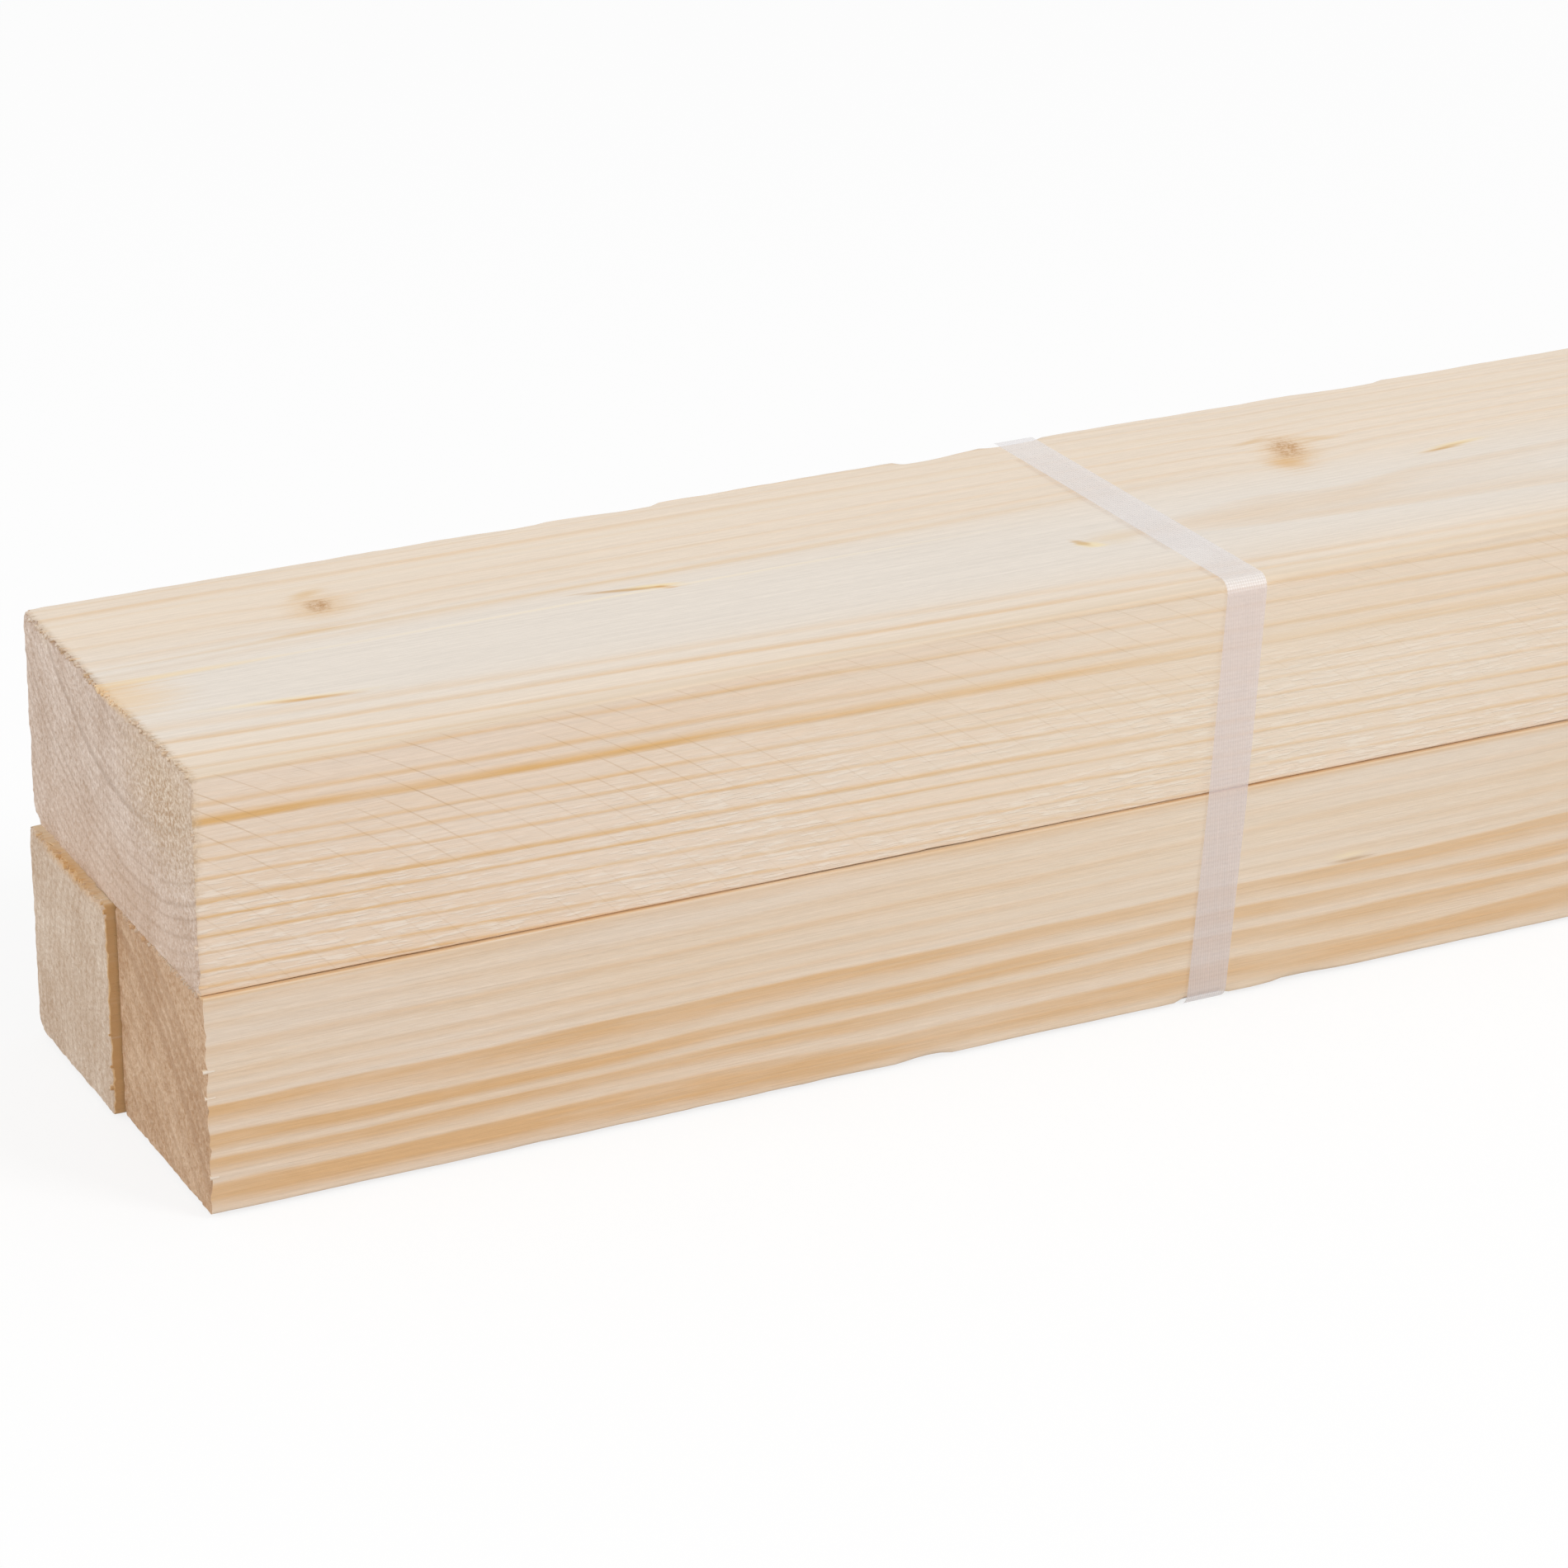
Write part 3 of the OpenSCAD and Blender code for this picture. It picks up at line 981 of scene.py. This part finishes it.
WIDE_FIR = SawnFir(
    name="fir_sawn_flat",
    pith=(19.0, 74.5), drift=(-3.0, -6.0),
    rings=(
        Ring(19.6, 0.9, 0.4), Ring(22.3, 0.9, 0.4), Ring(25.6, 0.8, 0.35), Ring(27.1, 0.8, 0.6),
        Ring(29.2, 0.6, 0.65), Ring(31.0, 0.55, 0.6), Ring(33.4, 0.6, 0.65), Ring(35.15, 1.15, 0.95, 0.4),
        Ring(37.15, 0.45, 0.6), Ring(38.7, 0.4, 0.7), Ring(40.5, 0.4, 0.8), Ring(42.8, 0.65, 0.85),
        Ring(44.25, 0.4, 0.9), Ring(46.2, 0.5, 0.8), Ring(47.9, 0.4, 0.65), Ring(49.8, 0.4, 0.75),
        Ring(51.3, 0.4, 0.75), Ring(52.8, 0.4, 0.7), Ring(54.3, 0.4, 0.7), Ring(55.8, 0.4, 0.7),
        Ring(57.3, 0.4, 0.65), Ring(58.8, 0.4, 0.65)),
    early="edd9c6", early_warm="ebd3bb", upper_sheen="efe0cd", flat="ebe1d5", late="e2b579",
    end_pale="f2e3d8", end_dark="b99e89", end_late="a08672",
    plain_behind=24.0, woolly=0.55, woolly_below=40.0, strokes=0.42, strokes_above=40.0, fades=0.15,
    spiral=(2.5, -7.0),
    marks=(
        # Painted light: the front face is painted paler away from the near end, where more light falls on it
        Mark((130.0, -1.0, 38.0), (110.0, 6.0, 40.0), "f7eedb", 0.35),
        Mark((150.0, -1.0, 42.4), (70.0, 6.0, 2.0), "eedcc6", 0.7),
        Mark((900.0, 44.0, 50.3), (2500.0, 3.0, 3.0), "eedfcc", 0.7),
        # Painted shade along the front-top arris, which tones down its highlight and blends it with the ring
        # line below
        Mark((100.0, 0.0, 50.4), (3000.0, 3.6, 1.0), "e3cfb6", 0.8),
        Mark((29.2, 37.8, 50.0), (6.0, 5.2, 4.0), "e0b780", 0.6, 0.6, 0.3, turn=20.0),
        Mark((29.2, 38.2, 50.0), (2.3, 2.7, 4.0), "ae783a", 0.85, 0.0, 0.7, 0.8, turn=-25.0),
        Mark((29.0, 41.6, 50.0), (3.4, 1.4, 4.0), "e0ba84", 0.6, turn=20.0),
        Mark((25.5, 31.5, 50.0), (7.0, 0.8, 4.0), "e0b87f", 0.5),
        Mark((148.6, 33.6, 50.0), (5.2, 9.0, 4.0), "e0b478", 0.65, 0.8, 0.3, turn=-24.0),
        Mark((149.0, 34.9, 50.0), (3.0, 4.6, 4.0), "b57f42", 0.85, 0.0, 0.75, 0.9, turn=-24.0),
        Mark((146.6, 30.4, 50.0), (3.4, 2.4, 4.0), "e0b06c", 0.6, turn=-20.0),
        Mark((146.8, 38.6, 50.0), (4.5, 1.0, 4.0), "dcb683", 0.55, turn=15.0),
        Mark((153.5, 36.4, 50.0), (5.0, 1.3, 4.0), "e2bd8a", 0.55, turn=-15.0),
        Mark((0.0, 25.0, 50.2), (1.1, 60.0, 0.9), "a98a68", 0.75, 0.0, 0.6),
        Mark((0.0, 0.0, 38.0), (0.5, 0.8, 26.0), "b99a78", 0.3, 0.0, 0.6),
        Mark((64.4, 27.2, 50.3), (5.5, 1.2, 1.0), "f5dfb2", 0.95, blur=0.7, turn=-10.0),
        Mark((61.0, 27.6, 50.3), (9.0, 0.65, 1.0), "cba066", 0.8, turn=-12.0),
        Mark((65.3, 26.6, 50.3), (2.2, 0.7, 1.0), "d39a4c", 0.95, blur=0.6, turn=-20.0),
        Mark((60.0, 30.9, 50.3), (85.0, 1.0, 1.0), "e3c08f", 0.5),
        Mark((55.0, 26.5, 50.3), (75.0, 0.5, 1.0), "f6e8d0", 0.7),
        Mark((6.0, 26.6, 50.3), (20.0, 1.1, 1.0), "f2dab2", 0.8),
        Mark((16.0, 15.0, 50.3), (13.0, 0.9, 1.0), "f5e2be", 0.9, turn=-6.0),
        Mark((18.5, 14.3, 50.3), (8.0, 0.7, 1.0), "d9a866", 0.85, turn=-8.0),
        Mark((113.6, 17.4, 50.3), (3.0, 1.5, 1.0), "f7e6bd", 0.85, blur=0.5, turn=-25.0),
        # Painted shadow on the chip's left edge, beside its pale torn wood
        Mark((112.7, 18.4, 50.3), (1.0, 2.4, 1.0), "d2ab6c", 0.75, blur=0.7, turn=28.0),
        Mark((117.0, 18.2, 50.3), (6.0, 3.2, 1.0), "e6cfae", 0.5),
        Mark((0.0, 7.0, 45.5), (1.5, 19.0, 13.0), "e6d4bb", 0.6),
        Mark((0.0, 8.0, 44.0), (1.5, 18.0, 12.0), "a57c54", 0.75, 0.0, 1.0),
        Mark((0.0, 22.0, 28.0), (1.5, 45.0, 12.0), "c39a76", 0.3),
        Mark((167.0, 27.4, 50.3), (6.5, 1.0, 1.0), "f5dfb4", 0.9, turn=8.0),
        Mark((165.5, 26.9, 50.3), (5.0, 0.7, 1.0), "cda063", 0.8, turn=8.0),
        Mark((0.5, 22.4, 50.3), (10.0, 7.5, 1.5), "eed0a8", 0.7),
        Mark((0.0, 25.4, 50.3), (6.0, 2.6, 1.5), "eac48f", 0.45),
        # Painted shade: a warm brown line along the joint between the battens, painted paler over the first
        # 75 mm
        Mark((900.0, 0.2, 25.75), (2500.0, 1.0, 0.3), "bb8344", 0.85, blur=0.7),
        Mark((0.0, 0.2, 25.75), (75.0, 1.2, 0.5), "e3c095", 0.75)))

FRONT_FIR = SawnFir(
    name="fir_sawn_banded",
    pith=(49.4, -34.0), drift=(1.0, 3.5),
    rings=(
        Ring(44.0, 1.2, 0.5), Ring(47.0, 1.2, 0.6), Ring(50.0, 1.2, 0.55), Ring(53.0, 1.3, 0.6),
        Ring(56.0, 1.3, 0.6), Ring(59.0, 1.4, 0.6), Ring(63.0, 1.9, 0.95, 0.6, 0.12),
        Ring(64.8, 1.3, 0.85, 0.4, 0.15), Ring(66.55, 1.3, 0.9, 0.55, 0.15), Ring(68.8, 1.9, 0.9, 0.35, 0.15),
        Ring(70.1, 0.9, 0.3), Ring(71.6, 1.0, 0.3), Ring(73.8, 1.1, 0.35), Ring(75.5, 1.0, 0.2),
        Ring(77.3, 1.0, 0.4), Ring(79.0, 0.8, 0.4)),
    early="e8d6c4", early_warm="e7d1b9", upper_sheen="e8d3b4", flat="e5dacd", late="dcb384",
    end_pale="e5c9ac", end_dark="af8660", end_late="a17a58",
    plain_behind=24.0, woolly=0.12, woolly_below=30.0, strokes=0.0, strokes_above=0.0, wavy=1.4,
    marks=(Mark((130.0, -1.0, 16.0), (110.0, 6.0, 40.0), "f4e8d3", 0.25),
           Mark((137.5, -1.0, 14.9), (4.0, 1.5, 0.7), "f4e2bf", 0.9),
           Mark((138.0, -1.0, 14.3), (4.5, 1.5, 0.45), "b98f5c", 0.8),
           # Painted shade: the front batten's top ledge under the wide batten and the joint line above it are
           # painted warm brown, paler over the first 75 mm
           Mark((900.0, -0.6, 25.8), (2500.0, 1.2, 0.7), "d8ad76", 0.55),
           Mark((900.0, 0.0, 25.85), (2500.0, 0.5, 0.3), "bb8344", 0.75, blur=0.7),
           Mark((0.0, 0.0, 25.85), (75.0, 1.2, 0.5), "e3c095", 0.75)))

BACK_FIR = SawnFir(
    name="fir_sawn_upright",
    pith=(-10.0, 6.0), drift=(3.0, 3.0),
    rings=(
        Ring(36.0, 0.9, 0.5), Ring(38.0, 0.9, 0.55), Ring(39.8, 0.8, 0.5), Ring(41.9, 1.0, 0.6),
        Ring(44.0, 0.9, 0.5), Ring(45.7, 0.8, 0.5), Ring(47.6, 0.9, 0.6), Ring(49.0, 0.7, 0.5),
        Ring(50.8, 0.8, 0.6), Ring(52.3, 0.7, 0.6), Ring(54.0, 0.8, 0.6), Ring(55.4, 0.7, 0.6),
        Ring(57.0, 0.8, 0.6), Ring(58.5, 0.7, 0.6), Ring(60.0, 0.7, 0.6), Ring(61.6, 0.7, 0.6)),
    early="e6d5bb", early_warm="e0c59e", upper_sheen="e6d3b8", flat="e5dacd", late="dab27f",
    end_pale="ebdbca", end_dark="b89b80", end_late="b29579",
    plain_behind=24.0, woolly=0.5, woolly_below=30.0, strokes=0.2, strokes_above=0.0,
    # Painted shade and warm bounced light: the back batten's faces in the narrow gaps at its protruding end
    # are painted golden
    marks=(Mark((0.0, 25.7, 13.0), (14.0, 0.6, 120.0), "caa06c", 0.95, blur=0.8),
           Mark((-1.0, 37.0, 25.8), (2.5, 16.0, 2.0), "d5a25c", 0.7)))


def main() -> None:
    """Build the bundle piece by piece, then its studio."""
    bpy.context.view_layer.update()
    wide_low, wide_high = (Vector(p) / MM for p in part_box("wide_batten"))
    lower_low = Vector(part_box("front_batten")[0]) / MM
    # Finishes and camera count from the wide batten's end and front, just under the battens
    under_battens = 0.89
    corner = Vector((wide_low.x, wide_low.y, lower_low.z - under_battens))
    middle_z = (lower_low.z + wide_high.z) / 2
    straps = (StrapPath(middle=120.0, lean=4.6, skew=2.3), StrapPath(middle=1880.0, lean=0.0, skew=0.0))
    sawn = {arris: 0.3 for arris in Arris}
    sharp = 0.1
    battens = (
        Batten("wide_batten_sawn", "wide_batten", "fir_wide", WIDE_FIR, 118, 56, 1.7,
               sawn | {Arris.FRONT_LOW: sharp},
               {Arris.BACK_LOW: 1.3, Arris.BACK_TOP: 1.3, Arris.FRONT_TOP: 1.3},
               chips=(Chip(Arris.BACK_TOP, 105.5, 119.0, 0.45), Chip(Arris.BACK_TOP, 75.5, 63.0, 0.3),
                      Chip(Arris.BACK_TOP, 61.0, 50.0, 0.15), Chip(Arris.BACK_TOP, 171.0, 158.0, 0.2),
                      Chip(Arris.FRONT_LOW, 84.0, 90.0, 0.1)),
               wane=(2.1, 1.4, 420.0), torn_fibres=220),
        Batten("front_batten_sawn", "front_batten", "fir_front", FRONT_FIR, 60, 60, 4.1,
               sawn | {Arris.FRONT_TOP: sharp},
               {Arris.FRONT_LOW: 1.3, Arris.FRONT_TOP: 0.4},
               chips=(Chip(Arris.FRONT_LOW, 86.0, 80.0, 0.2), Chip(Arris.FRONT_LOW, 128.0, 140.0, 0.2)),
               torn_fibres=110, strapped_sides=(0,)),
        Batten("back_batten_sawn", "back_batten", "fir_back", BACK_FIR, 56, 56, 8.3,
               sawn | {Arris.BACK_LOW: 2.0, Arris.BACK_TOP: 1.4}, {}, torn_fibres=110,
               strapped_sides=(1,)))
    for batten in battens:
        batten.build(straps, wide_low.x, middle_z, corner)
    Strapping(("near_strap", "far_strap"), NaturalPolypropylene()).dress(corner)
    studio = Studio(standpoint=(-175.12, -488.78, 274.01), azimuth=-26.319, elevation=23.496,
                    roll=0.12, lens=128.426, ambient=0.65, front_power=9.1, end_power=17.5)
    studio.set_camera(corner)
    studio.set_light()
    studio.lay_floor()
    bpy.context.scene.view_settings.view_transform = "Standard"


if __name__ == "__main__":
    logging.basicConfig(level=logging.INFO)
    main()
